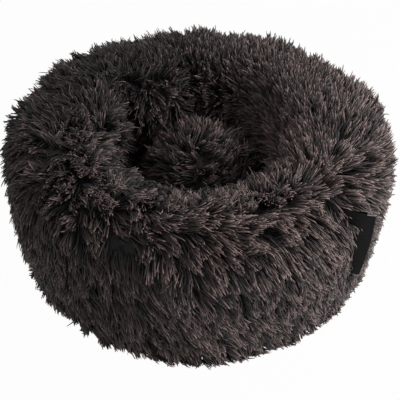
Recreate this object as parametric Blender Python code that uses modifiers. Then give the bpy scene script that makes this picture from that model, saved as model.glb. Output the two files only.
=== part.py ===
"""Donut pet bed: a plump ring of long-pile fur round a nest, a loose fur cushion and a zipped base.

The ring is a fur cover of two panels, seamed along the crest, over an inner bag of fibre. The nest's
floor is lining cloth on wadding. The base is anti-slip cloth in two halves that a zip closes. The zip
lies in a shallow valley, so that its slider and pull stay off the floor. The cushion lifts out.
All lengths are in metres, +Z is up, and the origin is on the floor under the middle of the bed.
"""

import math

import bmesh
import bpy
from mathutils import Matrix, Vector

# Ring, over its pile
bed_radius = 0.2400
bed_height = 0.1980
waist_height = 0.1420
base_radius = 0.2220
crest_radius = 0.1450
nest_radius = 0.0980
nest_waist_height = 0.0850
nest_foot_radius = 0.1120
nest_shift = 0.0120
pile_depth = 0.0160

# How square the quarters of the ring's section are: 2 is an ellipse
shoulder_power = 2.3
foot_power = 2.6
nest_power = 2.2

# Lumps of the settled ring; each row of shares is a count of waves, their share and their phase
side_lump = 0.0035
side_lump_shares = ((2, 1.0, 0.6), (4, 0.5, -1.1))
crest_wave = 0.0040
crest_wave_shares = ((2, 1.0, -0.5), (3, 0.6, -1.2))
nest_fold = 0.0115
fold_angle = math.radians(126)
fold_spread = math.radians(24)

# Broad tufts of the outer wall's pile; each row of shares is a count of waves round the ring, the
# turns that they lean over from foot to crest, their share and their phase
tuft_height = 0.0030
tuft_shares = ((9, 0.8, 1.0, 0.3), (7, -1.2, 0.8, 2.0), (5, 0.5, 0.5, 4.1))

# Cloth, wadding and seams
seat_gap = 0.0003
liner_gap = 0.0008
liner_thickness = 0.0012
liner_slit = 0.0030
base_cloth = 0.0016
lining_thickness = 0.0012
wadding_thickness = 0.0176
wadding_clearance = 0.0010
base_edge_clearance = 0.0011

# Cushion
cushion_radius = 0.0800
cushion_foot_radius = 0.0660
cushion_height = 0.1380
cushion_waist_height = 0.0420
cushion_pile = 0.0130
cushion_power = 2.1
cushion_lump = 0.0030
cushion_lump_shares = ((3, 1.0, 0.8),)
crown_shift = 0.0060

# Zip valley in the base cloth
valley_depth = 0.0080
valley_end_margin = 0.0240
valley_width = 0.0800
valley_end_slope = 0.0080
valley_side_slope = 0.0160
slot_width = 0.0130
slot_margin = 0.0020

# Zip
chain_length = 0.1760
chain_width = 0.0060
chain_thickness = 0.0026
tooth_pitch = 0.0023
tooth_depth = 0.0005
tooth_share = 0.55
tape_thickness = 0.0006
tape_width = 0.0140
tape_margin = 0.0080
stop_length = 0.0030
stop_bevel = 0.0005
slider_length = 0.0100
slider_width = 0.0092
slider_plate = 0.0013
slider_shoulder_shares = ((-0.50, 0.74), (-0.30, 1.00), (0.26, 1.00), (0.50, 0.80))
bridge_opening = 0.0024
bridge_bar = 0.0012
bridge_length = 0.0082
bridge_width = 0.0024
pull_length = 0.0180
pull_thickness = 0.0012
pull_bar = 0.0012
pull_width = 0.0080
pull_eye_length = 0.0060
pull_eye_width = 0.0034
pull_arm = 0.0015

# Side label, a ribbon folded double
label_azimuth = math.radians(-39.5)
label_lean = math.radians(25)
label_root_depth = 0.0100
label_height = 0.0990
label_middle_height = 0.1250
label_width = 0.0300
label_tuck_share = 0.35
label_cloth = 0.0005
label_fold_gap = 0.0010

# Counts of facets, and the one overrun that every cut takes
ring_steps = 36
foot_rows = 4
shoulder_rows = 5
nest_rows = 4
nest_foot_rows = 3
cushion_steps = 32
disc_steps = 64
fold_steps = 6
label_rows = 6
pull_end_steps = 8
overrun = 0.0050
weld = 0.00001

# Levels and places that follow from the sizes above
lining_level = base_cloth + seat_gap + wadding_thickness + seat_gap
nest_floor = lining_level + lining_thickness
cushion_floor = nest_floor + seat_gap
valley_roof = valley_depth + base_cloth
tape_level = valley_roof + seat_gap
chain_level = tape_level + (tape_thickness - chain_thickness) / 2
slider_top = chain_level - seat_gap
slider_bottom = slider_top - slider_plate
pull_axis_height = slider_bottom - bridge_opening / 2
slider_rest_x = -(chain_length / 2 - slider_length / 2 - seat_gap)
valley_length = chain_length + 2 * valley_end_margin
label_root_radius = bed_radius - label_root_depth

for old in list(bpy.data.objects):
    bpy.data.objects.remove(old, do_unlink=True)

bed = bpy.data.collections.new("donut_pet_bed")
cutters = bpy.data.collections.new("cutters")
bpy.context.scene.collection.children.link(bed)
bpy.context.scene.collection.children.link(cutters)


def make_material(name, colour, roughness, metallic=0.0):
    material = bpy.data.materials.new(name)
    material.use_nodes = True
    shader = material.node_tree.nodes["Principled BSDF"]
    shader.inputs["Base Color"].default_value = (*colour, 1.0)
    shader.inputs["Roughness"].default_value = roughness
    shader.inputs["Metallic"].default_value = metallic
    return material


fur = make_material("taupe_fur", (0.085, 0.068, 0.064), 0.80)
fibre = make_material("white_fibre", (0.80, 0.80, 0.78), 0.90)
bag_cloth = make_material("bag_cloth", (0.72, 0.72, 0.70), 0.85)
lining_cloth = make_material("lining_cloth", (0.055, 0.048, 0.046), 0.85)
grip_cloth = make_material("anti_slip_cloth", (0.020, 0.020, 0.021), 0.75)
tape_cloth = make_material("zip_tape", (0.016, 0.016, 0.017), 0.80)
coil_plastic = make_material("zip_coil", (0.022, 0.022, 0.024), 0.40)
zip_metal = make_material("dark_zinc", (0.16, 0.16, 0.17), 0.35, 1.0)
ribbon = make_material("black_ribbon", (0.012, 0.012, 0.014), 0.70)


def new_object(name, mesh, material, collection=bed):
    obj = bpy.data.objects.new(name, mesh)
    collection.objects.link(obj)
    if material is not None:
        obj.data.materials.append(material)
    if collection is cutters:
        obj.hide_render = True
        obj.display_type = "WIRE"
    return obj


def freeze(obj):
    """Replace a mesh or curve object by the closed mesh that Blender evaluates for it."""
    graph = bpy.context.evaluated_depsgraph_get()
    mesh = bpy.data.meshes.new_from_object(obj.evaluated_get(graph))
    work = bmesh.new()
    work.from_mesh(mesh)
    bmesh.ops.remove_doubles(work, verts=work.verts, dist=weld)
    bmesh.ops.recalc_face_normals(work, faces=work.faces)
    work.to_mesh(mesh)
    work.free()
    frozen = bpy.data.objects.new("frozen", mesh)
    for collection in obj.users_collection:
        collection.objects.link(frozen)
    frozen.matrix_world = obj.matrix_world.copy()
    frozen.hide_render = obj.hide_render
    frozen.display_type = obj.display_type
    name = obj.name
    bpy.data.objects.remove(obj, do_unlink=True)
    frozen.name = name
    return frozen


def turned(name, profile, steps, material, closed=True):
    """Turn a profile of (radius, height) points about Z into a closed body."""
    mesh = bpy.data.meshes.new(name)
    points = [(radius, 0.0, height) for radius, height in profile]
    edges = [(i, i + 1) for i in range(len(points) - 1)]
    if closed:
        edges.append((len(points) - 1, 0))
    mesh.from_pydata(points, edges, [])
    obj = new_object(name, mesh, material)
    screw = obj.modifiers.new("turn", "SCREW")
    screw.axis = "Z"
    screw.steps = steps
    screw.render_steps = steps
    screw.use_merge_vertices = True
    screw.merge_threshold = weld
    screw.use_normal_calculate = True
    return freeze(obj)


def box(name, low, high, material=None, collection=cutters):
    """A box between two corners, grown from a unit cube."""
    mesh = bpy.data.meshes.new(name)
    work = bmesh.new()
    bmesh.ops.create_cube(work, size=1.0)
    size = [b - a for a, b in zip(low, high)]
    middle = [(a + b) / 2 for a, b in zip(low, high)]
    bmesh.ops.scale(work, vec=size, verts=work.verts)
    bmesh.ops.translate(work, vec=middle, verts=work.verts)
    work.to_mesh(mesh)
    work.free()
    return new_object(name, mesh, material, collection)


def disc(name, radius, bottom, thickness, material):
    mesh = bpy.data.meshes.new(name)
    work = bmesh.new()
    bmesh.ops.create_cone(
        work, cap_ends=True, segments=disc_steps, radius1=radius, radius2=radius, depth=thickness
    )
    bmesh.ops.translate(work, vec=(0, 0, bottom + thickness / 2), verts=work.verts)
    work.to_mesh(mesh)
    work.free()
    return new_object(name, mesh, material)


def loaf(name, grow, bottom, top):
    """A low mound with sloping sides over the zip, the shape that the base cloth is lifted to."""
    mesh = bpy.data.meshes.new(name)
    work = bmesh.new()
    bmesh.ops.create_cube(work, size=2.0)
    for vert in work.verts:
        height = top if vert.co.z > 0 else bottom
        rise = height / valley_depth
        vert.co.x *= valley_length / 2 + grow - valley_end_slope * rise
        vert.co.y *= valley_width / 2 + grow - valley_side_slope * rise
        vert.co.z = height
    work.to_mesh(mesh)
    work.free()
    return new_object(name, mesh, None, cutters)


def flat_shape(name, outlines, thickness, material, collection=bed):
    """A flat plate cut to 2D outlines; the outlines after the first are holes in it."""
    curve = bpy.data.curves.new(name, "CURVE")
    curve.dimensions = "2D"
    curve.fill_mode = "BOTH"
    curve.extrude = thickness / 2
    for outline in outlines:
        spline = curve.splines.new("POLY")
        spline.points.add(len(outline) - 1)
        for point, (x, y) in zip(spline.points, outline):
            point.co = (x, y, 0.0, 1.0)
        spline.use_cyclic_u = True
    return freeze(new_object(name, curve, material, collection))


def stand_up(obj):
    """Turn a flat shape drawn in XY so that its outline stands in XZ."""
    obj.data.transform(Matrix.Rotation(math.radians(90), 4, "X"))
    return obj


def combine(obj, other, operation):
    boolean = obj.modifiers.new(operation.lower(), "BOOLEAN")
    boolean.operation = operation
    boolean.object = other
    return obj


def smooth(value):
    value = min(1.0, max(0.0, value))
    return value * value * (3.0 - 2.0 * value)


def quarter(power, steps, falling=False):
    """Unit quarter of a superellipse, (across, up), from the waist to the top or back down."""
    points = []
    for i in range(steps + 1):
        angle = math.pi / 2 * (steps - i if falling else i) / steps
        across = max(0.0, math.cos(angle)) ** (2 / power)
        points.append((across, math.sin(angle) ** (2 / power)))
    return points


def outer_wall(depth, foot):
    """The ring's outer half at a depth under the pile, from its foot up to the crest."""
    points = []
    for across, down in quarter(foot_power, foot_rows, falling=True):
        radius = base_radius - depth + (bed_radius - base_radius) * across
        points.append((radius, waist_height - (waist_height - foot) * down))
    for across, up in quarter(shoulder_power, shoulder_rows)[1:]:
        radius = crest_radius + (bed_radius - depth - crest_radius) * across
        points.append((radius, waist_height + (bed_height - depth - waist_height) * up))
    return points


def inner_wall(depth, foot):
    """The ring's nest side at a depth under the pile, from the crest down to its foot."""
    points = []
    for across, up in quarter(nest_power, nest_rows, falling=True):
        radius = crest_radius - (crest_radius - nest_radius - depth) * across
        points.append((radius, nest_waist_height + (bed_height - depth - nest_waist_height) * up))
    for across, down in quarter(nest_power, nest_foot_rows)[1:]:
        radius = nest_foot_radius + depth - (nest_foot_radius - nest_radius) * across
        points.append((radius, nest_waist_height - (nest_waist_height - foot) * down))
    return points


def nest_wall_radius(depth, level):
    """Radius of the nest side's true curve at a level below the nest's waist."""
    down = (nest_waist_height - level) / (nest_waist_height - base_cloth)
    across = (1 - down**nest_power) ** (1 / nest_power)
    return nest_foot_radius + depth - (nest_foot_radius - nest_radius) * across


def trim_below(points, level):
    """Cut a falling row of (radius, height) points off at a level."""
    kept = [point for point in points if point[1] > level]
    last = kept[-1]
    after = points[len(kept)]
    share = (last[1] - level) / (last[1] - after[1])
    return kept + [(last[0] + (after[0] - last[0]) * share, level)]


def waves(angle, shares):
    return sum(share * math.cos(count * angle + phase) for count, share, phase in shares)


def plump(point):
    """Move a point of an even ring to where the settled, slightly lumpy ring has it."""
    radius = math.hypot(point.x, point.y)
    angle = math.atan2(point.y, point.x)
    nest_reach = nest_foot_radius + pile_depth + liner_gap + liner_thickness
    outward = smooth((radius - nest_reach) / (base_radius - pile_depth - nest_reach))
    level = point.z / bed_height
    belly = math.sin(math.pi * min(1.0, max(0.0, level)))
    turn = math.remainder(angle - fold_angle, 2 * math.pi) / fold_spread
    lump = side_lump * outward * belly * waves(angle, side_lump_shares)
    fold = nest_fold * (1 - smooth((radius - nest_radius) / (crest_radius - nest_radius)))
    radius += lump - fold * belly * math.exp(-turn * turn)
    wave = crest_wave * level * level * waves(angle, crest_wave_shares)
    return Vector(
        (
            radius * math.cos(angle),
            radius * math.sin(angle) + nest_shift * (1 - outward),
            point.z + wave,
        )
    )


def comb_tufts(panel, outside):
    """Raise and lower the pile side of an even panel in broad tufts, which fade at its two seams."""
    middle = ((bed_radius + nest_radius) / 2, bed_height / 2)
    for vert in panel.data.vertices:
        radius = math.hypot(vert.co.x, vert.co.y)
        rows = [i for i, point in enumerate(outside) if math.dist(point, (radius, vert.co.z)) < weld]
        if not rows:
            continue
        angle = math.atan2(vert.co.y, vert.co.x)
        climb = rows[0] / (len(outside) - 1)
        rise = sum(
            share * math.cos(count * angle + turns * 2 * math.pi * climb + phase)
            for count, turns, share, phase in tuft_shares
        )
        across, up = radius - middle[0], vert.co.z - middle[1]
        move = tuft_height * math.sin(math.pi * climb) * rise / math.hypot(across, up)
        vert.co.x += move * across * math.cos(angle)
        vert.co.y += move * across * math.sin(angle)
        vert.co.z += move * up
    return panel


def puff(point):
    """Move a point of an even cushion to the lumpy, slightly leaning one."""
    radius = math.hypot(point.x, point.y)
    angle = math.atan2(point.y, point.x)
    level = (point.z - cushion_floor) / cushion_height
    lean = crown_shift * level * level
    radius *= 1 + cushion_lump / cushion_radius * level * waves(angle, cushion_lump_shares)
    return Vector((radius * math.cos(angle) + lean, radius * math.sin(angle) + nest_shift, point.z))


def cut_rows(obj, rows, height):
    """Cut a body that stands centred on the origin into rows, so that it can be bent."""
    work = bmesh.new()
    work.from_mesh(obj.data)
    for i in range(1, rows):
        level = (0, 0, height * (i / rows - 0.5))
        parts = work.verts[:] + work.edges[:] + work.faces[:]
        bmesh.ops.bisect_plane(work, geom=parts, plane_co=level, plane_no=(0, 0, 1))
    work.to_mesh(obj.data)
    work.free()


def reshape(obj, move):
    for vert in obj.data.vertices:
        vert.co = move(vert.co)
    return obj


def make_fur_cover():
    """Two fur panels, seamed along the crest; the pile counts in their thickness."""
    outside = outer_wall(0.0, 0.0)
    inside = outer_wall(pile_depth, 0.0)
    panel = turned("outer_fur_panel", outside + inside[::-1], ring_steps, fur)
    reshape(comb_tufts(panel, outside), plump)
    foot = nest_floor + seat_gap
    outside = trim_below(inner_wall(0.0, base_cloth), foot)
    inside = trim_below(inner_wall(pile_depth, base_cloth), foot)
    for wall in (outside, inside):
        wall[0] = (wall[0][0] - seat_gap, wall[0][1])
    reshape(turned("inner_fur_panel", outside + inside[::-1], ring_steps, fur), plump)


def ring_core(depth):
    """Section of what fills the cover, open at the middle of its underside."""
    foot = base_cloth + seat_gap + depth - pile_depth - liner_gap
    seam = (nest_foot_radius + base_radius) / 2
    start = [(seam + liner_slit / 2, foot)]
    finish = [(seam - liner_slit / 2, foot)]
    return start + outer_wall(depth, foot) + inner_wall(depth, foot)[1:] + finish


def make_ring_filling():
    """A bag of thin cloth, its edges meeting in a slit underneath, and the fibre inside it."""
    bag_depth = pile_depth + liner_gap
    outside = ring_core(bag_depth)
    inside = ring_core(bag_depth + liner_thickness)
    reshape(turned("ring_inner_bag", outside + inside[::-1], ring_steps, bag_cloth), plump)
    core = ring_core(bag_depth + liner_thickness + liner_gap)
    reshape(turned("ring_fibre_filling", core, ring_steps, fibre), plump)


def make_nest_floor():
    """Lining cloth on a disc of wadding, which has room underneath for the zip."""
    radius = nest_wall_radius(pile_depth, nest_floor) - wadding_clearance
    wadding = disc("nest_floor_wadding", radius, base_cloth + seat_gap, wadding_thickness, fibre)
    lining = disc("nest_floor_lining", radius, lining_level, lining_thickness, lining_cloth)
    for piece in (wadding, lining):
        piece.data.transform(Matrix.Translation((0, nest_shift, 0)))
    chain_top = chain_level + chain_thickness + seat_gap
    combine(wadding, loaf("zip_room", base_cloth + 2 * seat_gap, -overrun, chain_top), "DIFFERENCE")


def make_base():
    """Two half discs of anti-slip cloth, lifted to a valley along the zip that joins them."""
    radius = base_radius - pile_depth - base_edge_clearance
    over = loaf("valley_cloth", base_cloth, seat_gap, valley_roof)
    under = loaf("valley_hollow", 0.0, -overrun, valley_depth)
    reach = chain_length / 2 + stop_length + slot_margin
    low = (-reach, -slot_width / 2, -overrun)
    slot = box("zip_slot", low, (reach, slot_width / 2, valley_roof + overrun))
    far = base_radius + overrun
    for name, side in (("base_panel_front", -1), ("base_panel_rear", 1)):
        panel = disc(name, radius, 0.0, base_cloth, grip_cloth)
        near_edge = -side * far
        seam_edge = side * seat_gap / 2
        low = (-far, min(near_edge, seam_edge), -overrun)
        high = (far, max(near_edge, seam_edge), valley_roof + overrun)
        other_half = box(name + "_trim", low, high)
        combine(panel, over, "UNION")
        combine(panel, under, "DIFFERENCE")
        combine(panel, slot, "DIFFERENCE")
        combine(panel, other_half, "DIFFERENCE")


def make_zip():
    """Two tapes, the closed chain between them and a stop at each of its ends."""
    edge = chain_width / 2 + seat_gap
    reach = chain_length / 2 + tape_margin
    top = tape_level + tape_thickness
    box("zip_tape_front", (-reach, -edge - tape_width, tape_level), (reach, -edge, top), tape_cloth, bed)
    box("zip_tape_rear", (-reach, edge, tape_level), (reach, edge + tape_width, top), tape_cloth, bed)

    teeth = round(chain_length / tooth_pitch)
    pitch = chain_length / teeth
    lower = []
    for i in range(teeth):
        start = -chain_length / 2 + i * pitch
        lower.append((start, tooth_depth))
        lower.append((start + pitch * (1 - tooth_share) / 2, 0.0))
        lower.append((start + pitch * (1 + tooth_share) / 2, 0.0))
    lower.append((chain_length / 2, tooth_depth))
    upper = [(chain_length / 2, chain_thickness), (-chain_length / 2, chain_thickness)]
    chain = stand_up(flat_shape("zip_chain", [lower + upper], chain_width, coil_plastic))
    chain.location = (0, 0, chain_level)

    start = chain_length / 2 + seat_gap
    half = chain_width / 2
    top = chain_level + chain_thickness
    for name, side in (("zip_stop_closed_end", -1), ("zip_stop_open_end", 1)):
        ends = sorted((side * start, side * (start + stop_length)))
        stop = box(name, (ends[0], -half, chain_level), (ends[1], half, top), zip_metal, bed)
        bevel = stop.modifiers.new("crimped_edges", "BEVEL")
        bevel.width = stop_bevel
        bevel.segments = 2


def make_slider():
    """The slider hugs the chain from below and carries the pull on a bridge."""
    carrier = bpy.data.objects.new("slider_carrier", None)
    carrier.location = (slider_rest_x, 0, pull_axis_height)
    bed.objects.link(carrier)

    half_length = bridge_length / 2
    side = [(x * slider_length, y * slider_width / 2) for x, y in slider_shoulder_shares]
    outline = side + [(x, -y) for x, y in reversed(side)]
    slider = flat_shape("zip_slider", [outline], slider_plate, zip_metal)
    slider.data.transform(Matrix.Translation((0, 0, slider_bottom + slider_plate / 2 - pull_axis_height)))

    flange_start = side[1][0]
    flange_end = side[2][0]
    flange_low = slider_bottom - pull_axis_height
    flange_high = tape_level - seat_gap - pull_axis_height
    for name, sign in (("flange_front", -1), ("flange_rear", 1)):
        edges = sorted((sign * (chain_width / 2 + seat_gap), sign * slider_width / 2))
        low = (flange_start, edges[0], flange_low)
        flange = box(name, low, (flange_end, edges[1], flange_high))
        flange.parent = carrier
        combine(slider, flange, "UNION")

    bite = slider_plate / 2
    top = bridge_opening / 2 + bite
    inner = half_length - bridge_bar
    bottom = -bridge_opening / 2 - bridge_bar
    arch = [
        (-half_length, top), (-half_length, bottom + bridge_bar / 2), (-inner, bottom),
        (inner, bottom), (half_length, bottom + bridge_bar / 2), (half_length, top),
        (inner, top), (inner, bottom + bridge_bar), (-inner, bottom + bridge_bar), (-inner, top),
    ]
    bridge = stand_up(flat_shape("slider_bridge", [arch], bridge_width, None, cutters))
    bridge.parent = carrier
    combine(slider, bridge, "UNION")
    slider.parent = carrier

    eye_start = pull_bar / 2
    eye_half = pull_eye_width / 2
    arm_half = eye_half + pull_arm
    shoulder = eye_start + pull_eye_length
    end_radius = pull_width / 2
    outer = [(-pull_bar / 2, -arm_half), (shoulder, -arm_half)]
    for i in range(pull_end_steps + 1):
        angle = math.radians(-90 + 180 * i / pull_end_steps)
        x = pull_length - end_radius + end_radius * math.cos(angle)
        outer.append((x, end_radius * math.sin(angle)))
    outer += [(shoulder, arm_half), (-pull_bar / 2, arm_half)]
    eye_end = eye_start + pull_eye_length
    eye = [(eye_start, -eye_half), (eye_end, -eye_half), (eye_end, eye_half), (eye_start, eye_half)]
    pull = flat_shape("zip_pull", [outer, eye], pull_thickness, zip_metal)
    pull.parent = carrier


def make_cushion():
    """Fur dome, lining underneath and fibre inside, crowned and drawn in at its foot."""

    def dome(depth, foot, rows):
        points = []
        waist = cushion_floor + cushion_waist_height
        for across, down in quarter(cushion_power, rows, falling=True):
            radius = cushion_foot_radius - depth + (cushion_radius - cushion_foot_radius) * across
            points.append((radius, waist - (waist - foot) * down))
        for across, up in quarter(cushion_power, 2 * rows)[1:]:
            rise = cushion_height - cushion_waist_height - depth
            points.append(((cushion_radius - depth) * across, waist + rise * up))
        points[-1] = (0.0, points[-1][1])
        return points

    outside = dome(0.0, cushion_floor, 3)
    inside = dome(cushion_pile, cushion_floor, 2)
    profile = outside + inside[::-1]
    reshape(turned("cushion_fur_panel", profile, cushion_steps, fur, closed=True), puff)

    radius = cushion_foot_radius - cushion_pile - liner_gap
    top = cushion_floor + lining_thickness
    plate = [(0.0, cushion_floor), (radius, cushion_floor), (radius, top), (0.0, top)]
    reshape(turned("cushion_base_panel", plate, cushion_steps, lining_cloth, closed=False), puff)

    core = dome(cushion_pile + liner_gap, top + seat_gap, 2)
    core.insert(0, (0.0, top + seat_gap))
    reshape(turned("cushion_fibre_filling", core, cushion_steps, fibre, closed=False), puff)


def make_label():
    """A ribbon folded double, its two ends caught in the outer panel's upright seam."""
    half = label_cloth + label_fold_gap / 2

    def tuck(point):
        level = 0.5 - point.z / label_height
        return Vector((point.x * (1 - label_tuck_share * level * level), point.y, point.z))

    def fold(radius):
        points = []
        for i in range(fold_steps + 1):
            angle = math.radians(-90 + 180 * i / fold_steps)
            x = label_width - half + radius * math.cos(angle)
            points.append((x, radius * math.sin(angle)))
        return points

    outer = [(0.0, -half)] + fold(half) + [(0.0, half)]
    inner = [(0.0, label_fold_gap / 2)] + fold(label_fold_gap / 2)[::-1] + [(0.0, -label_fold_gap / 2)]
    label = flat_shape("side_label", [outer + inner], label_height, ribbon)
    cut_rows(label, label_rows, label_height)
    reshape(label, tuck)
    low = (-seat_gap, -half - seat_gap, -label_height / 2 - seat_gap)
    high = (label_width + overrun, half + seat_gap, label_height / 2 + seat_gap)
    slit = box("label_slit", low, high)
    across = Vector((math.cos(label_azimuth), math.sin(label_azimuth), 0)) * label_root_radius
    place = Matrix.Translation(across + Vector((0, 0, label_middle_height)))
    place = place @ Matrix.Rotation(label_azimuth + label_lean, 4, "Z")
    for piece in (label, slit):
        piece.matrix_world = place
    combine(bpy.data.objects["outer_fur_panel"], slit, "DIFFERENCE")


make_fur_cover()
make_ring_filling()
make_nest_floor()
make_base()
make_zip()
make_slider()
make_cushion()
make_label()
bpy.context.view_layer.update()
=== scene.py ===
# %% [markdown]
# # A donut pet bed with long shaggy pile
# The bed is a plump ring of long-pile cloth round a nest, with a loose, high-crowned cushion in it.
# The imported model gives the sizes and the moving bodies. This script gives the bed its looks: a skin
# that is puffed up by a cloth simulation, tens of thousands of locks of pile that grow out of it, a
# folded ribbon, a lining, and an anti-slip base with its zip. Every length is in metres.

# %% Load the fixed frame
import math

import bpy
import numpy as np
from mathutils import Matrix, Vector, noise
from mathutils.bvhtree import BVHTree
from mathutils.kdtree import KDTree


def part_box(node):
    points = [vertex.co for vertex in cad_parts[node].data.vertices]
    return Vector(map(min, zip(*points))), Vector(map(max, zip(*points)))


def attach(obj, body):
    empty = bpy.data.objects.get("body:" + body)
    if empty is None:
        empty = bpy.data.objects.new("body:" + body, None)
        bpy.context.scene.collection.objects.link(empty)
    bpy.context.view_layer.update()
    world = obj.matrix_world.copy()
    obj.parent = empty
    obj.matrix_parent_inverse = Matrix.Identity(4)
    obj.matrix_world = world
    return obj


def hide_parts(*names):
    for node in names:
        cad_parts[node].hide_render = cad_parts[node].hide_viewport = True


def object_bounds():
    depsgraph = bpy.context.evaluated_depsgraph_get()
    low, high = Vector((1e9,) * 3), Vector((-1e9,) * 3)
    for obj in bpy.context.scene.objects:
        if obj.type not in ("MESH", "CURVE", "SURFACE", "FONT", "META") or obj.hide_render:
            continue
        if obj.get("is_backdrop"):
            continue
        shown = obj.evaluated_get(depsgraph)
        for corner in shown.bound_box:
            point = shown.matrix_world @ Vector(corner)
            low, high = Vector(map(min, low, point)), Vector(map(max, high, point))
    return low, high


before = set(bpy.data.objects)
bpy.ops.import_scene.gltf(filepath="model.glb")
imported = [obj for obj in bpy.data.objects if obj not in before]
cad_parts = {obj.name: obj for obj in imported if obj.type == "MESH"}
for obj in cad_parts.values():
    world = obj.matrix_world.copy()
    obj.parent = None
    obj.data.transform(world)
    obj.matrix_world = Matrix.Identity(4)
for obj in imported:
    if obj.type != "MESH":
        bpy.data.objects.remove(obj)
scene = bpy.context.scene
cad_low, cad_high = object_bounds()
print("CAD box", [round(x, 4) for x in (*cad_low, *cad_high)])

# %% [markdown]
# ## The camera
# The photograph looks down on the bed from the front. The height of the camera follows from how round
# the nest's mouth looks, and its distance from how much wider the front of the ring is than its back.
# It is aimed a little below the bed's middle, so that no shift is needed.

# %% Place the camera
view_elevation = math.radians(40.5)
view_distance = 1.45
view_target = Vector((0.0, 0.0, 0.100))
view_aim = Vector((0.003, 0.0, 0.062))
lens_length = 100.0

camera_data = bpy.data.cameras.new("camera")
camera_data.lens = lens_length
camera = bpy.data.objects.new("camera", camera_data)
scene.collection.objects.link(camera)
view_back = Vector((0, -math.cos(view_elevation), math.sin(view_elevation)))
camera.location = view_target + view_back * view_distance
camera.rotation_euler = (view_aim - camera.location).to_track_quat("-Z", "Y").to_euler()
scene.camera = camera
scene.view_settings.view_transform = "Standard"

# %% [markdown]
# ## Light and floor
# Dark pile needs soft light from all sides, or the gaps between its locks turn into black holes. A pale
# world gives that. One broad lamp at the upper right gives the locks their bright side. What the camera
# sees behind the bed is plain white, which comes from the Light Path node and not from more light.

# %% Build the world, the lamps and the floor
world_level = 0.190
key_energy = 17.4
key_size = 0.6
key_place = Vector((1.15, -0.45, 0.75))
rim_energy = 5.0
rim_size = 0.9
rim_place = Vector((1.20, 0.80, 0.45))
floor_size = 12.0
floor_grey = 0.60
floor_white_share = 0.975


def link(tree, source, target):
    tree.links.new(source, target)


def white_for_camera(tree, dull, bright):
    """Mix two shaders so that the camera, and what mirrors or passes light, sees the bright one."""
    path = tree.nodes.new("ShaderNodeLightPath")
    either = tree.nodes.new("ShaderNodeMath")
    either.operation = "MAXIMUM"
    any_of = tree.nodes.new("ShaderNodeMath")
    any_of.operation = "MAXIMUM"
    link(tree, path.outputs["Is Camera Ray"], either.inputs[0])
    link(tree, path.outputs["Is Glossy Ray"], either.inputs[1])
    link(tree, either.outputs[0], any_of.inputs[0])
    link(tree, path.outputs["Is Transmission Ray"], any_of.inputs[1])
    mix = tree.nodes.new("ShaderNodeMixShader")
    link(tree, any_of.outputs[0], mix.inputs["Fac"])
    link(tree, dull, mix.inputs[1])
    link(tree, bright, mix.inputs[2])
    return mix.outputs[0]


world = bpy.data.worlds.new("studio")
world.use_nodes = True
scene.world = world
tree = world.node_tree
soft = tree.nodes["Background"]
soft.inputs["Color"].default_value = (1.0, 1.0, 1.0, 1.0)
soft.inputs["Strength"].default_value = world_level
white = tree.nodes.new("ShaderNodeBackground")
white.inputs["Color"].default_value = (1.0, 1.0, 1.0, 1.0)
white.inputs["Strength"].default_value = 1.0
mixed = white_for_camera(tree, soft.outputs[0], white.outputs[0])
link(tree, mixed, tree.nodes["World Output"].inputs["Surface"])


def add_lamp(name, place, energy, size):
    data = bpy.data.lights.new(name, "AREA")
    data.energy = energy
    data.size = size
    lamp = bpy.data.objects.new(name, data)
    scene.collection.objects.link(lamp)
    lamp.location = place
    lamp.rotation_euler = (view_target - place).to_track_quat("-Z", "Y").to_euler()
    return lamp


add_lamp("key_lamp", key_place, key_energy, key_size)
add_lamp("rim_lamp", rim_place, rim_energy, rim_size)

bpy.ops.object.select_all(action="DESELECT")
bpy.ops.mesh.primitive_plane_add(size=floor_size)
floor = bpy.context.object
floor.name = "floor"
floor_paint = bpy.data.materials.new("pale_floor")
floor_paint.use_nodes = True
tree = floor_paint.node_tree
paint = tree.nodes["Principled BSDF"]
paint.inputs["Base Color"].default_value = (floor_grey, floor_grey, floor_grey, 1.0)
paint.inputs["Roughness"].default_value = 0.9
glow = tree.nodes.new("ShaderNodeEmission")
glow.inputs["Strength"].default_value = 1.0
shaded = tree.nodes.new("ShaderNodeMixShader")
shaded.inputs["Fac"].default_value = floor_white_share
link(tree, paint.outputs[0], shaded.inputs[1])
link(tree, glow.outputs[0], shaded.inputs[2])
mixed = white_for_camera(tree, paint.outputs[0], shaded.outputs[0])
link(tree, mixed, tree.nodes["Material Output"].inputs["Surface"])
floor.data.materials.append(floor_paint)
floor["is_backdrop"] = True

# %% [markdown]
# ## The colour of the pile
# Every lock is darker at its root than at its tip: the near-black root is painted shade that stands in
# for the shadow deep in the pile. No two locks have quite the same tone. Each strand carries both in its
# own map: across the map runs the strand's tone, and up the map runs its length from root to tip. One
# material then paints all the pile.

# %% Make the pile's material
# The near-black root and low colours are painted shade, for the shadow deep in the pile between the locks.
root_shade_colour = (0.006, 0.0045, 0.0042)
low_colour = (0.022, 0.0165, 0.0158)
middle_colour = (0.100, 0.0748, 0.0716)
tip_colour = (0.226, 0.1690, 0.1618)
cool_tint = (0.93, 0.99, 1.0)
warm_tint = (1.0, 0.965, 0.935)
darkest_tone = 0.15
lightest_tone = 1.95
pile_roughness = 0.55
pile_specular = 0.35
strand_map = "Strand"
bake_map = "OFBake"


def new_material(name, roughness=0.8, metallic=0.0):
    material = bpy.data.materials.new(name)
    material.use_nodes = True
    shader = material.node_tree.nodes["Principled BSDF"]
    shader.inputs["Roughness"].default_value = roughness
    shader.inputs["Metallic"].default_value = metallic
    return material, material.node_tree, shader


def new_ramp(tree, stops):
    """A colour ramp with these (place, colour) stops."""
    ramp = tree.nodes.new("ShaderNodeValToRGB")
    while len(ramp.color_ramp.elements) < len(stops):
        ramp.color_ramp.elements.new(1.0)
    for element, (place, colour) in zip(ramp.color_ramp.elements, stops):
        element.position = place
        element.color = (*colour, 1.0)
    return ramp


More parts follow.
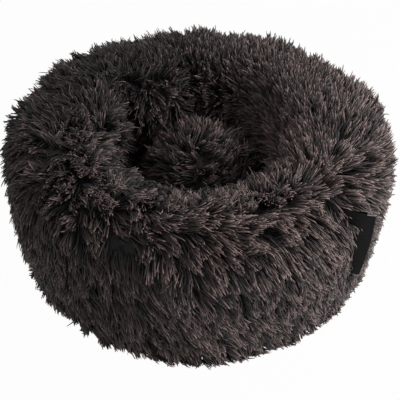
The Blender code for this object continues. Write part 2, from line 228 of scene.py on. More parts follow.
pile, tree, shader = new_material("taupe_pile", pile_roughness)
shader.inputs["Specular IOR Level"].default_value = pile_specular
strand_place = tree.nodes.new("ShaderNodeUVMap")
strand_place.uv_map = strand_map
split = tree.nodes.new("ShaderNodeSeparateXYZ")
link(tree, strand_place.outputs["UV"], split.inputs[0])
length_stops = ((0.0, root_shade_colour), (0.48, low_colour), (0.80, middle_colour), (1.0, tip_colour))
ramp = new_ramp(tree, length_stops)
link(tree, split.outputs["Y"], ramp.inputs["Fac"])
tone = tree.nodes.new("ShaderNodeMapRange")
tone.inputs["To Min"].default_value = darkest_tone
tone.inputs["To Max"].default_value = lightest_tone
link(tree, split.outputs["X"], tone.inputs["Value"])
tint = new_ramp(tree, ((0.1, cool_tint), (0.8, warm_tint)))
link(tree, split.outputs["X"], tint.inputs["Fac"])
tinted = tree.nodes.new("ShaderNodeVectorMath")
tinted.operation = "MULTIPLY"
link(tree, ramp.outputs["Color"], tinted.inputs[0])
link(tree, tint.outputs["Color"], tinted.inputs[1])
toned = tree.nodes.new("ShaderNodeVectorMath")
toned.operation = "SCALE"
link(tree, tinted.outputs["Vector"], toned.inputs["Vector"])
link(tree, tone.outputs["Result"], toned.inputs["Scale"])
link(tree, toned.outputs["Vector"], shader.inputs["Base Color"])

# %% [markdown]
# ## The skin under the pile
# Under the pile is a knitted backing cloth over an inner bag of fibre. The fibre's solid is copied,
# remeshed into even small faces, and swollen by a cloth simulation with air pressure inside, so that
# it is plump and slightly uneven, as a filled cover is.

# %% Helpers for modelling with operators
merge_distance = 0.00001
cloth_frames = 20


def select_only(obj):
    bpy.ops.object.select_all(action="DESELECT")
    obj.select_set(True)
    bpy.context.view_layer.objects.active = obj


def copy_node(node, name):
    """A new object with a copy of a CAD node's mesh, its loose triangles merged."""
    obj = bpy.data.objects.new(name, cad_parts[node].data.copy())
    scene.collection.objects.link(obj)
    obj.data.materials.clear()
    select_only(obj)
    bpy.ops.object.mode_set(mode="EDIT")
    bpy.ops.mesh.select_all(action="SELECT")
    bpy.ops.mesh.remove_doubles(threshold=merge_distance)
    bpy.ops.object.mode_set(mode="OBJECT")
    return obj


def apply_all(obj):
    select_only(obj)
    for modifier in list(obj.modifiers):
        bpy.ops.object.modifier_apply(modifier=modifier.name)


def read_points(mesh):
    """The mesh's vertices as rows of an array."""
    points = np.empty(len(mesh.vertices) * 3, np.float32)
    mesh.vertices.foreach_get("co", points)
    return points.reshape(-1, 3).astype(float)


def write_points(mesh, points):
    mesh.vertices.foreach_set("co", points.astype(np.float32).ravel())
    mesh.update()


def remesh_evenly(obj, voxel):
    remesh = obj.modifiers.new("remesh", "REMESH")
    remesh.mode = "VOXEL"
    remesh.voxel_size = voxel
    apply_all(obj)
    return obj


def swell(obj, pressure, limit):
    """Puff a closed form up as cloth, no point by more than the limit, and round it off."""
    start = read_points(obj.data)
    cloth = obj.modifiers.new("cloth", "CLOTH")
    cloth.settings.use_pressure = True
    cloth.settings.uniform_pressure_force = pressure
    cloth.settings.effector_weights.gravity = 0
    for number in range(1, cloth_frames + 1):
        scene.frame_set(number)
    apply_all(obj)
    scene.frame_set(1)
    move = read_points(obj.data) - start
    far = np.linalg.norm(move, axis=1, keepdims=True)
    move *= np.minimum(1.0, limit / np.maximum(far, merge_distance))
    write_points(obj.data, start + move)
    print(obj.name, "swelled by up to", round(float(far.max()), 4), "m")
    subdivision = obj.modifiers.new("smooth", "SUBSURF")
    subdivision.levels = 1
    subdivision.render_levels = 1
    apply_all(obj)
    bpy.ops.object.shade_smooth()
    return obj


# %% Make the skins of the ring and of the cushion
skin_voxel = 0.006
skin_pressure = 4.0
ring_skin_depth = 0.0125
cushion_skin_grow = 0.0010
ring_swell_limit = 0.0025
cushion_swell_limit = 0.0025
lump_height = 0.0030
lump_size = 0.065
skin_gap = 0.0004
probe_reach = 0.030

fold_angle = math.radians(123)
fold_spread = math.radians(16)
fold_level = 0.147
fold_reach = 0.040
fold_rise = 0.026
groove_turn = math.radians(27)
groove_spread = math.radians(7)
groove_depth = 0.010
fold_edge = 0.150
fold_blend = 0.008
nest_middle = np.array([0.0, 0.012, 0.0])
base_edge = 0.1970
base_thickness = 0.0022
edge_level = 0.0012
foot_height = 0.030
ring_foot_radius = 0.150


def bulge(obj, grow, lump, lowest):
    """Move a skin outwards, a little more here and there as loose fibre does, and keep it off the base."""
    points = read_points(obj.data)
    normals = np.array([vertex.normal for vertex in obj.data.vertices])
    lumps = np.array([0.5 + noise.noise(Vector(point) / lump_size) for point in points])
    points += normals * (grow + lump * lumps.clip(0, 1))[:, None]
    points[:, 2] = np.maximum(points[:, 2], lowest)
    write_points(obj.data, points)
    return obj


def surface_tree(*nodes):
    """A search tree of the surfaces of some CAD nodes."""
    points = []
    faces = []
    for node in nodes:
        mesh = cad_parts[node].data
        faces += [[corner + len(points) for corner in face.vertices] for face in mesh.polygons]
        points += [vertex.co.copy() for vertex in mesh.vertices]
    return BVHTree.FromPolygons(points, faces)


def settle(obj, tree, depth):
    """Bring a skin out to an even depth under a solid's outer surface, so that it has its forms."""
    for vertex in obj.data.vertices:
        normal = vertex.normal.copy()
        hit = tree.ray_cast(vertex.co + normal * probe_reach, -normal, probe_reach)
        if hit[0] is not None:
            vertex.co += normal * max(0.0, probe_reach - hit[3] - depth)
    obj.data.update()
    return obj


def turn_from_fold(points):
    """How far round the nest's middle from the fold each point lies, from minus pi to pi."""
    turn = np.arctan2(points[:, 1] - nest_middle[1], points[:, 0]) - fold_angle
    return (turn + math.pi) % (2 * math.pi) - math.pi


def in_groove(points):
    """From 0 to 1: how deep in the grooves on both sides of the fold each point lies."""
    return np.exp(-(((np.abs(turn_from_fold(points)) - groove_turn) / groove_spread) ** 2))


def push_fold(obj):
    """Push the fold in the ring's inner wall, at the back left, out into the nest between two grooves."""
    points = read_points(obj.data)
    reach = np.hypot(points[:, 0], points[:, 1] - nest_middle[1])
    beside = np.exp(-((turn_from_fold(points) / fold_spread) ** 6))
    above = np.exp(-(((points[:, 2] - fold_level) / fold_reach) ** 4))
    inside = 1 / (1 + np.exp((reach - fold_edge) / fold_blend))
    rise = (fold_rise * beside - groove_depth * in_groove(points)) * above * inside
    inward = np.array([-math.cos(fold_angle), -math.sin(fold_angle), 0.0])
    write_points(obj.data, points + inward * rise[:, None])


def turn_edge_under(obj):
    """Stretch the skin's foot down to the floor all round the base, as the panel is turned under there."""
    points = read_points(obj.data)
    reach = np.hypot(points[:, 0], points[:, 1])
    lowest = np.where(reach > base_edge, edge_level, base_thickness + skin_gap)
    bottom = points[:, 2].min() + 2 * lump_height
    share = np.clip((points[:, 2] - bottom) / (foot_height - bottom), 0, 1)
    lowered = lowest + (foot_height - lowest) * share
    at_foot = (points[:, 2] < foot_height) & (reach > ring_foot_radius)
    points[:, 2] = np.where(at_foot, lowered, points[:, 2])
    write_points(obj.data, points)


base_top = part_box("base_panel_front")[1].z
cushion_base_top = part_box("cushion_base_panel")[1].z
ring_skin = remesh_evenly(copy_node("ring_fibre_filling", "ring_skin"), skin_voxel)
settle(ring_skin, surface_tree("outer_fur_panel", "inner_fur_panel"), ring_skin_depth)
bulge(ring_skin, 0, 0, base_top + skin_gap)
swell(ring_skin, skin_pressure, ring_swell_limit)
push_fold(ring_skin)
bulge(ring_skin, 0, lump_height, base_top + skin_gap)
turn_edge_under(ring_skin)
cushion_skin = remesh_evenly(copy_node("cushion_fibre_filling", "cushion_skin"), skin_voxel)
bulge(cushion_skin, cushion_skin_grow, 0, cushion_base_top + skin_gap)
swell(cushion_skin, skin_pressure, cushion_swell_limit)
bulge(cushion_skin, 0, lump_height, cushion_base_top + skin_gap)

# The backing takes the pile's near-black root colour, painted shade that shows in the gaps between the
# locks.
skin_paint, tree, shader = new_material("pile_backing", 0.9)
shader.inputs["Base Color"].default_value = (*root_shade_colour, 1.0)
for skin, body in ((ring_skin, "bed"), (cushion_skin, "cushion")):
    skin.data.materials.append(skin_paint)
    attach(skin, body)
    print(skin.name, "has", len(skin.data.polygons), "faces")
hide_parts("outer_fur_panel", "inner_fur_panel")
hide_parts("cushion_fur_panel")

# %% [markdown]
# ## One strand, modelled once
# A strand of this pile is a bundle of fine hairs with a blunt end. It starts as a three-sided cone
# primitive, is cut across twice so that it can bend, and is fattened nearly up to its tip. All strands
# are copies of it, each bent along its own curve, so it has to have very few faces.

# %% Model the strand
strand_cuts = (0.45, 0.90)
strand_swell_shares = (0.85, 1.00, 0.66, 0.0)

bpy.ops.object.select_all(action="DESELECT")
bpy.ops.mesh.primitive_cone_add(
    vertices=3, radius1=1.0, radius2=0.0, depth=1.0, end_fill_type="NOTHING", location=(0, 0, 0.5)
)
strand = bpy.context.object
bpy.ops.object.transform_apply(location=True, rotation=True, scale=True)
bpy.ops.object.mode_set(mode="EDIT")
for cut in strand_cuts:
    bpy.ops.mesh.select_all(action="SELECT")
    bpy.ops.mesh.bisect(plane_co=(0, 0, cut), plane_no=(0, 0, 1))
bpy.ops.object.mode_set(mode="OBJECT")

strand_points = read_points(strand.data)
strand_along = strand_points[:, 2]
strand_across = strand_points[:, :2].copy()
radii = np.hypot(strand_across[:, 0], strand_across[:, 1])
strand_levels = (0.0, *strand_cuts, 1.0)
wanted = np.interp(strand_along, strand_levels, strand_swell_shares)
strand_across *= (wanted / np.maximum(radii, merge_distance))[:, None]
strand_faces = [list(face.vertices) for face in strand.data.polygons]
bpy.data.objects.remove(strand)
print("a strand has", len(strand_points), "points and", len(strand_faces), "faces")

# %% [markdown]
# ## How the strands' maps are laid out
# Each of the strand's three sides gets its own narrow upright band of the map, so that no face of the
# map is without width.

# %% Lay out a strand's map
side_band = 0.004


def strand_bands():
    """For each corner of each face: how many bands across the map it lies."""
    across = []
    for face in strand_faces:
        middle = strand_across[face].mean(axis=0)
        turn = math.atan2(middle[1], middle[0])
        side = round(turn / (2 * math.pi / 3)) % 3
        for corner in face:
            x, y = strand_across[corner]
            if abs(x) + abs(y) < merge_distance:
                across.append(side + 0.5)
                continue
            corner_turn = math.atan2(y, x) - math.atan2(middle[1], middle[0])
            ahead = math.remainder(corner_turn, 2 * math.pi) > 0
            across.append(side + (1.0 if ahead else 0.0))
    return np.array(across)


corner_bands = strand_bands()
corner_points = np.concatenate([np.array(face) for face in strand_faces])
corner_along = strand_along[corner_points]

# %% [markdown]
# ## Planting and combing
# Locks are planted over the skin, one for each small square and more of them along the crest, where
# they stand up. Every lock then gets a direction. The pile parts along the crest of the ring: outside
# it falls outwards and down, inside it falls into the nest, and on the crest it is combed back.
# Smooth noise turns whole patches, smaller noise turns tufts, and each lock has a turn of its own, as
# in pile that has been handled. Neighbouring locks are drawn together into clumps that run side by
# side. Both sources of chance have a fixed seed, so that every run gives the same bed.

# %% Plant locks on a skin
rng = np.random.default_rng(11)
drift_seed = 5
noise.seed_set(drift_seed)
drift_step = 17.3
count_step = 200


def plant(skin, spacing, weight):
    """Points spread over a skin's triangles as densely as their weight says, and the normals there."""
    mesh = skin.data
    mesh.calc_loop_triangles()
    corners = np.empty(len(mesh.loop_triangles) * 3, np.int32)
    mesh.loop_triangles.foreach_get("vertices", corners)
    corners = corners.reshape(-1, 3)
    points = read_points(mesh)
    normals = np.array([vertex.normal for vertex in mesh.vertices])
    middles = points[corners].mean(axis=1)
    facing = normals[corners].mean(axis=1)
    sides = points[corners]
    areas = np.linalg.norm(np.cross(sides[:, 1] - sides[:, 0], sides[:, 2] - sides[:, 0]), axis=1) / 2
    areas = areas * weight(middles, facing)
    total = areas.sum()
    count = round(total / spacing**2 / count_step) * count_step
    steps = (np.arange(count) + rng.random(count)) * total / count
    chosen = np.searchsorted(np.cumsum(areas), steps).clip(0, len(areas) - 1)
    shares = rng.dirichlet((1.0, 1.0, 1.0), count)
    at = (points[corners[chosen]] * shares[:, :, None]).sum(axis=1)
    out = (normals[corners[chosen]] * shares[:, :, None]).sum(axis=1)
    return at, unit(out)


def unit(vectors):
    return vectors / np.maximum(np.linalg.norm(vectors, axis=1, keepdims=True), 1e-9)


def soft_step(share):
    share = np.clip(share, 0, 1)
    return share * share * (3 - 2 * share)


def drift(points, size, seed):
    """A smooth random vector for each point, alike over patches of this size."""
    offset = Vector((seed, seed, seed)) * drift_step
    return np.array([noise.noise_vector(Vector(point) / size + offset) for point in points])


# %% Bend copies of the strand into locks
up = np.array([0.0, 0.0, 1.0])
soft_top = float(cad_high.z) - 0.0115
headroom = 0.0120
soft_reach = float(cad_high.x) - 0.0070
side_room = 0.0150
foot_level = 0.150
foot_inset = 0.014
foot_skew = 0.009
limit_spread = 0.0035
locks_in_clump = 6
root_gather = 0.35
tip_gather = 0.35
wild_reach = 4.5
thinnest = 0.75
thickest = 1.25


def soft_limit(values, start, room):
    """Leave values under the start as they are, and bring those above it back to within the room."""
    return np.minimum(values, start) + room * np.tanh(np.maximum(values - start, 0) / room)


def gather(roots, lean, droop, length, share):
    """Draw neighbouring locks together into clumps that run side by side, with gaps between them.

    Gives back the roots, the lean and the tips, and for each lock its clump and how far out in it.
    """
    middles = rng.permutation(len(roots))[: len(roots) // locks_in_clump]
    tree = KDTree(len(middles))
    for number, middle in enumerate(middles):
        tree.insert(Vector(roots[middle]), number)
    tree.balance()
    clump = np.array([tree.find(Vector(root))[1] for root in roots])
    centre = middles[clump]
    apart = np.linalg.norm(roots - roots[centre], axis=1)
    share = share[:, None]
    roots = roots + (roots[centre] - roots) * share * root_gather
    lean = unit(lean * (1 - share) + lean[centre] * share)
    droop = unit(droop * (1 - share) + droop[centre] * share)
    tips = roots + (lean + droop) * (length / 2)[:, None]
    tips = tips + (tips[centre] - tips) * share * tip_gather
    return roots, lean, tips, clump, apart / apart.mean() - 1


def draw_chances(count, strands):
    """All that is left to chance in this many locks, drawn in one go, so that every run gets the same."""
    normals = rng.normal(size=(count, strands, 14))
    evens = rng.random((count, strands, 3))
    return normals, evens


def grow(name, roots, lean, tips, length, look, chances):
    """Locks of strands from the roots to the tips; lean is where each starts out."""
    count = len(roots)
    start = roots
    normals, evens = chances
    sideways = unit(np.cross(lean, normals[:, 0, 10:13]))
    curl = look["curl"] * normals[:, 1, 10] * length
    bend = start + lean * (length / 2)[:, None] + sideways * curl[:, None]

    owner = np.repeat(np.arange(count), look["strands"])
    total = len(owner)
    normals = normals.reshape(total, -1)
    evens = evens.reshape(total, -1)
    spread = normals[:, 0:3] * look["root_spread"]
    lean_own = lean[owner]
    spread -= lean_own * (spread * lean_own).sum(axis=1, keepdims=True)
    own_start = start[owner] + spread
    own_length = look["shortest"] + evens[:, 0:1] * (look["longest"] - look["shortest"])
    wild = np.where(evens[:, 1:2] < look["wild_share"], wild_reach, 1.0)
    stray = normals[:, 3:6] * look["tip_spread"] * wild
    wave = normals[:, 6:9] * look["wave"]
    apart = spread * (1 - look["gather"])
    own_tip = own_start + (tips[owner] - start[owner] + apart - spread + stray) * own_length
    own_bend = own_start + (bend[owner] - start[owner] + (apart - spread) * 0.5 + wave) * own_length

    along = strand_along[None, :, None]
    path = (
        own_start[:, None] * (1 - along) ** 2
        + own_bend[:, None] * 2 * along * (1 - along)
        + own_tip[:, None] * along**2
    )
    path[:, :, 2] = np.maximum(path[:, :, 2], look["floor"] + look["radius"] * thickest)
    heading = unit(own_tip - own_start)
    side = unit(np.cross(heading, normals[:, 10:13]))
    other = np.cross(heading, side)
    thick = look["radius"] * (thinnest + evens[:, 2, None, None] * (thickest - thinnest))
    across = side[:, None] * strand_across[None, :, :1] + other[:, None] * strand_across[None, :, 1:]
    points = path + across * thick
    ragged = np.clip(normals[:, 9:10], -2, 2) * limit_spread
    points[:, :, 2] = soft_limit(points[:, :, 2], soft_top + ragged, headroom)
    reach = np.maximum(np.hypot(points[:, :, 0], points[:, :, 1]), merge_distance)
    right_front = np.clip(points[:, :, 0], 0, None) * np.clip(-points[:, :, 1], 0, None) / reach**2
    inset = foot_inset + foot_skew * right_front * 2
    limit = soft_reach + ragged - inset * soft_step(1 - points[:, :, 2] / foot_level)
    points[:, :, :2] *= (soft_limit(reach, limit, side_room) / reach)[:, :, None]

    tone = look["tone"][owner] + normals[:, 13] * look["strand_tone"]
    tone = np.clip(tone, 0.0, 1.0) * (1 - 3 * side_band)
    return build_pile(name, points.reshape(-1, 3), tone)


def build_pile(name, points, tones):
    """One mesh of all the strands, with the map that tells tone and length."""
    total = len(tones)
    step = len(strand_points)
    sizes = np.array([len(face) for face in strand_faces])
    loops = len(corner_points)
    vertex_of_loop = (corner_points[None] + np.arange(total)[:, None] * step).ravel()
    face_start = np.concatenate([[0], np.cumsum(sizes)[:-1]])
    first_loop = (face_start[None] + np.arange(total)[:, None] * loops).ravel()
    mesh = bpy.data.meshes.new(name)
    mesh.vertices.add(total * step)
    mesh.vertices.foreach_set("co", points.astype(np.float32).ravel())
    mesh.loops.add(total * loops)
    mesh.loops.foreach_set("vertex_index", vertex_of_loop.astype(np.int32))
    mesh.polygons.add(total * len(strand_faces))
    mesh.polygons.foreach_set("loop_start", first_loop.astype(np.int32))
    mesh.update(calc_edges=True)
    mesh.polygons.foreach_set("use_smooth", np.ones(len(mesh.polygons), bool))
    u = tones[:, None] + corner_bands[None] * side_band
    v = np.broadcast_to(corner_along[None], u.shape)
    places = np.stack([u, v], axis=2).astype(np.float32).ravel()
    for layer in (bake_map, strand_map):
        mesh.uv_layers.new(name=layer)
        mesh.uv_layers[layer].data.foreach_set("uv", places)
    mesh.materials.append(pile)
    obj = bpy.data.objects.new(name, mesh)
    scene.collection.objects.link(obj)
    return obj


# %% [markdown]
# ## The ring's pile
# The outer pile hangs from the crest to the floor. The inner pile falls into the nest. The numbers
# below say where the pile parts, how far it is raised, laid down or combed, how much shorter it is in
# some places, and how light or dark. Besides tone that differs at random, the locks' tone carries painted
# light on the fold, the right inner wall and the front of the parting, and painted shade in the grooves,
# the hollow behind the fold, the back left, the left side, the left inner wall and the edges of clumps.
# A share is a part of a unit direction, of the full length or of the full tone.

# %% Grow the ring's pile
lock_spacing = 0.0056
pile_length = 0.042
strand_radius = 0.00103
parting_radius = 0.132
front_parting = 0.058
parting_blend = 0.050
lowest_facing = -0.75
rim_radius = 0.150
rim_blend = 0.020
parting_width = 0.032
front_rim_radius = 0.182
front_rim_blend = 0.030
covered_level = 0.095
covered_share = 0.5
crest_foot = 0.120
crest_rise = 0.050
clump_tone = 0.12
clump_edge_painted_shade = 0.15
hang_level = 0.060
hang_blend = 0.045
# Where the painted shade over the back left of the ring lies.
painted_shade_angle = math.radians(132)
painted_shade_spread = math.radians(62)
painted_shade_radius = 0.130
painted_shade_width = 0.072
foot_pile_level = 0.070
dip_angle = math.radians(-99)
dip_spread = math.radians(14)
fold_front = 0.120
fold_hollow = 0.135
fold_hollow_spread = math.radians(28)
crest_thick = 0.9
crest_width = 0.028
label_azimuth = math.radians(-39.5)
label_lean = math.radians(25)
label_root_radius = 0.2300
label_width = 0.0300
label_height = 0.0990
label_middle_height = 0.1250
label_clear_side = 0.009
label_near_side = 0.022
label_clear_level = 0.010
underside = 0.003
floor_clearance = 0.0008
outer_sectors = 8
inner_sectors = 4

left_start = 0.25
laid_start = 0.15
laid_right_share = 0.45
laid_outer_share = 0.20
laid_blend = 0.60
laid_inner_share = 0.75
hanging_share = 0.8
sweep_share = 0.50
combed_middle_share = 0.6
combed_left_share = 0.9
fall_out_share = 1.1
fall_shares = (0.35, 0.65)
flow_shares = (0.70, 0.45)
crest_up_share = 0.5
raised_share = 0.85
lowered_shares = {"laid": 0.25, "flat": 0.35, "tuck": 0.25}
open_wall_raise = 0.25
droop_lean_share = 0.65
droop_flow_shares = (0.60, 0.25)
droop_down_shares = {"all": 0.05, "tuck": 0.50, "flat": 0.30}
droop_stray_share = 0.6
patch_size = 0.040
patch_shares = (0.28, 0.50)
ruffle_size = 0.015
ruffle_shares = (0.40, 0.90)
ruffle_weight = 0.5
own_shares = (0.10, 0.16)

shortest_lock = 0.80
longest_lock = 1.10
shorter_left = 0.25
shorter_upright = 0.12
shorter_back = 0.14
shorter_back_right = 0.12
shorter_foot = 0.35
shorter_flat = 0.38
shorter_front = 0.12
shorter_front_rim = 0.55
shorter_dip = 0.68
shorter_groove = 0.40
shorter_at_label = 0.20

label_split = 0.006
label_push_share = 0.4
label_down_share = 0.8
label_flow_share = 0.9
label_raise_share = 0.40
label_droop_raise_share = 0.12

middle_tone = 0.5
tone_patch_size = 0.030
tone_patch_share = 0.25
own_tone = 0.15
# The amounts below paint light (lighter) and shade (darker) into the tone of the locks.
fold_painted_light = 0.38
groove_painted_shade = 0.25
painted_shade_darker = 0.44
hollow_painted_shade = 0.22
open_wall_painted_light = 0.36
left_painted_shade = 0.14
flat_painted_shade = 0.14
parting_painted_light = 0.26
clumped_shares = {"all": 0.25, "front": 0.34, "left": 0.10}
clump_tone_shares = (0.5, 1.1)
clump_edge_shade_least = 0.3

lining_level = float(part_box("nest_floor_lining")[1].z) + skin_gap


def ring_weight(middles, facing):
    """More locks near the parting, where they stand up, and none under the bed."""
    spot = middles[:, :2] - nest_middle[:2]
    reach = np.hypot(spot[:, 0], spot[:, 1])
    line = parting_radius + front_parting * np.clip(-spot[:, 1] / reach, 0, 1)
    lowest = np.where(reach < parting_radius, lining_level, underside)
    shown = (middles[:, 2] > lowest) & (facing[:, 2] > lowest_facing)
    high = facing[:, 2] > 0
    covered = (reach < parting_radius) & (middles[:, 2] < covered_level)
    shown = shown * np.where(covered, covered_share, 1.0)
    return shown * (1 + high * crest_thick * np.exp(-(((reach - line) / crest_width) ** 2)))


ring_roots, ring_normals = plant(ring_skin, lock_spacing, ring_weight)
from_middle = ring_roots - nest_middle
reach = np.hypot(from_middle[:, 0], from_middle[:, 1])
outward = np.stack([from_middle[:, 0] / reach, from_middle[:, 1] / reach, np.zeros(len(reach))], axis=1)
azimuth = np.arctan2(from_middle[:, 1], from_middle[:, 0])
front = np.clip(-outward[:, 1], 0, 1)
left = np.clip(left_start - outward[:, 0], 0, 1)
parting = parting_radius + front_parting * front
side = np.tanh((reach - parting) / parting_blend)
is_outer = np.where(reach > parting, 1.0, -1.0)

inside = np.clip(-side * 2, 0, 1)
begin = laid_start - laid_right_share * soft_step(outward[:, 0] * 2) + laid_outer_share * np.clip(side, 0, 1)
laid = soft_step((begin - outward[:, 1]) / laid_blend)
laid = np.maximum(laid, laid_inner_share * inside * np.clip(-outward[:, 0], 0, 1))[:, None]
hanging = hanging_share * soft_step((hang_level - ring_roots[:, 2]) / hang_blend) * (side > 0)
laid = np.maximum(laid, hanging[:, None])
to_left = np.clip(-outward[:, 0], 0, 1)[:, None]
to_right = np.clip(outward[:, 0], 0, 1)
back = np.clip(outward[:, 1], 0, 1)
open_wall = (inside * to_right)[:, None]
on_crest = soft_step((ring_roots[:, 2] - crest_foot) / crest_rise)[:, None] * (1 - laid) * (1 - to_left)
sweep = np.array([1.0, 0.0, 0.0]) * sweep_share
combed_back = np.array([0.0, 1.0, 0.0]) * (1 - combed_middle_share * to_left)
combed_back = combed_back - np.array([combed_left_share, 0.0, 0.0]) * to_left
fall = outward * side[:, None] * fall_out_share - up * np.abs(side)[:, None]
fall = fall + sweep * laid * (side > 0)[:, None]
fall = fall * (fall_shares[0] + fall_shares[1] * laid) + combed_back * (1 - laid)
flow = fall - ring_normals * (fall * ring_normals).sum(axis=1, keepdims=True)
patch = drift(ring_roots, patch_size, 1) * (patch_shares[0] + patch_shares[1] * left)[:, None]
ruffle = drift(ring_roots, ruffle_size, 2) * (ruffle_shares[0] + ruffle_shares[1] * left)[:, None]
own = rng.normal(size=ring_roots.shape) * (own_shares[0] + own_shares[1] * left)[:, None]
stray = patch + ruffle * ruffle_weight + own
tuck = (inside * front)[:, None]
flat = inside[:, None] * to_left
raised = ring_normals * (1 - crest_up_share * on_crest) + up * crest_up_share * on_crest
lowered = lowered_shares["laid"] * laid + lowered_shares["flat"] * flat + lowered_shares["tuck"] * tuck
raise_share = raised_share - lowered + open_wall_raise * open_wall
lean = unit(raised * raise_share + flow * (flow_shares[0] + flow_shares[1] * laid) + stray)
down = droop_down_shares["all"] + droop_down_shares["tuck"] * tuck + droop_down_shares["flat"] * flat
droop = lean * droop_lean_share + flow * (droop_flow_shares[0] + droop_flow_shares[1] * laid)
droop = unit(droop - up * down + stray * droop_stray_share)
length = pile_length * rng.uniform(shortest_lock, longest_lock, len(ring_roots))
length *= 1 - shorter_left * left * (side > 0) * (1 - back)
shorter = shorter_upright * (1 - laid[:, 0]) + shorter_back * back
length *= 1 - shorter - shorter_back_right * back * to_right * (side > 0)
low = soft_step((foot_pile_level - ring_roots[:, 2]) / foot_pile_level)
length *= 1 - shorter_foot * low * front * to_right
length *= 1 - shorter_flat * flat[:, 0] - shorter_front * front * (side > 0)
past_rim = np.clip((rim_radius - reach) / rim_blend, 0, 1)
past_front = np.clip((front_rim_radius - reach) / front_rim_blend, 0, 1)
length *= 1 - shorter_front_rim * front * past_front
in_dip = np.exp(-(((azimuth - dip_angle) / dip_spread) ** 4))
length *= 1 - shorter_dip * in_dip * past_front
groove = in_groove(ring_roots) * past_rim
length *= 1 - shorter_groove * groove
on_fold = np.exp(-((turn_from_fold(ring_roots) / fold_spread) ** 4)) * past_rim

label_heading = label_azimuth + label_lean
label_root = np.array([math.cos(label_azimuth), math.sin(label_azimuth), 0.0]) * label_root_radius
label_ahead = np.array([math.cos(label_heading), math.sin(label_heading), 0.0])
label_beside = np.array([-label_ahead[1], label_ahead[0], 0.0])
to_root = ring_roots - label_root
off_plane = to_root @ label_beside
off_level = np.maximum(np.abs(ring_roots[:, 2] - label_middle_height) - label_height / 2, 0)
in_reach = np.abs(to_root @ label_ahead) < 2 * label_width
clear = np.exp(-((off_plane / label_clear_side) ** 2) - (off_level / label_clear_level) ** 2) * in_reach
near_label = np.exp(-((off_plane / label_near_side) ** 2) - (off_level / label_clear_level) ** 2) * in_reach
clear = clear[:, None]
aside = label_beside * np.where(off_plane < label_split, -label_push_share, label_push_share)[:, None]
aside = aside - up * label_down_share
aside = unit(aside - ring_normals * (aside * ring_normals).sum(axis=1, keepdims=True))
lean = unit(lean * (1 - clear) + clear * (aside * label_flow_share + ring_normals * label_raise_share))
droop = unit(droop * (1 - clear) + clear * (aside + ring_normals * label_droop_raise_share))
length *= 1 - shorter_at_label * clear[:, 0] - shorter_at_label * near_label

tone = middle_tone + tone_patch_share * drift(ring_roots, tone_patch_size, 3)[:, 0]
tone += rng.normal(size=len(ring_roots)) * own_tone
# Painted shade: locks over the back left of the ring, on its crest and inner wall there, are made darker.
from_painted_shade = np.angle(np.exp(1j * (azimuth - painted_shade_angle)))
shade = np.exp(-((from_painted_shade / painted_shade_spread) ** 4) - ((reach - painted_shade_radius) / painted_shade_width) ** 4)
# Painted light: the fold that stands out into the nest is made lighter, as its lit side.
tone += fold_painted_light * on_fold * soft_step((fold_front - reach) / rim_blend)
# Painted shade: locks in the grooves beside the fold are made darker.
tone -= groove_painted_shade * groove + painted_shade_darker * shade
# Painted shade in the hollow above and behind the fold, on the inner wall.
behind_fold = np.exp(-((turn_from_fold(ring_roots) / fold_hollow_spread) ** 4))
behind_fold = behind_fold * (ring_roots[:, 2] > covered_level)
tone -= hollow_painted_shade * behind_fold * np.exp(-(((reach - fold_hollow) / rim_blend) ** 2))
# Painted light makes the right inner wall lighter; painted shade makes the left side and, more, the left
# inner wall darker.
tone += open_wall_painted_light * open_wall[:, 0] - left_painted_shade * to_left[:, 0] - flat_painted_shade * flat[:, 0]
# Painted light: locks along the front of the parting are made lighter.
tone += parting_painted_light * front * np.exp(-(((reach - parting) / parting_width) ** 2))
clumped = clumped_shares["all"] + clumped_shares["front"] * front + clumped_shares["left"] * to_left[:, 0]
planted, lean, tips, clump, outer_edge = gather(ring_roots, lean, droop, length, clumped)
own_clump_tone = rng.normal(size=clump.max() + 1)[clump] * clump_tone
tone += own_clump_tone * (clump_tone_shares[0] + clump_tone_shares[1] * front)
# Painted shade: locks at the edge of a clump are made darker, for the clump's own shadow.
tone -= clump_edge_painted_shade * outer_edge * (clump_edge_shade_least + front)

look = {
    "strands": 5,
    "root_spread": 0.0019,
    "tip_spread": 0.0016,
    "curl": 0.10,
    "shortest": 0.72,
    "longest": 1.06,
    "radius": strand_radius,
    "wave": 0.0028,
    "wild_share": 0.03,
    "strand_tone": 0.46,
    "gather": 0.45,
}
print("ring locks", len(ring_roots))
normal_chances, even_chances = draw_chances(len(ring_roots), look["strands"])
panels = (("outer", 1.0, outer_sectors, floor_clearance), ("inner", -1.0, inner_sectors, lining_level))
for label, of_panel, sectors, lowest in panels:
    look["floor"] = lowest
    for i in range(sectors):
        first = -math.pi + 2 * math.pi * i / sectors
        mine = (is_outer == of_panel) & (azimuth >= first) & (azimuth < first + 2 * math.pi / sectors)
        look["tone"] = tone[mine]
        chances = (normal_chances[mine], even_chances[mine])
        name = f"{label}_pile_{i + 1}"
        piece = grow(name, planted[mine], lean[mine], tips[mine], length[mine], look, chances)
        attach(piece, "bed")
        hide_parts(f"{label}_fur_panel")
        print(piece.name, len(piece.data.polygons), "faces")

# %% [markdown]
# ## The cushion's pile
# The pile of the cushion is shorter. It rises to the back, and on the side near the viewer it fans out
# to the left and the right.

# %% Grow the cushion's pile
cushion_facing = -0.6
near_edge = 0.035
near_blend = 0.110
far_fan = np.array([1.4, 0.6, 0.0])
near_fan = np.array([2.2, 0.0, 0.0])
fan_drop = 0.03
far_rise = np.array([0.0, 0.50, 0.40])
near_rise = np.array([-0.10, -0.05, 0.10])
cushion_patch_size = 0.045
cushion_ruffle_size = 0.014
cushion_patch_shares = (0.80, 0.30)
cushion_ruffle_shares = (0.45, 0.25)
cushion_own_share = 0.26
cushion_raised_share = 0.8
cushion_flow_shares = (0.25, 0.30)
cushion_droop_rise = 0.6
cushion_droop_down = 0.10
cushion_lock_lengths = (0.70, 1.0)
cushion_length_share = 0.72
cushion_tone = 0.44
cushion_patch_tone = 0.22
cushion_own_tone = 0.20
cushion_clumped = 0.25

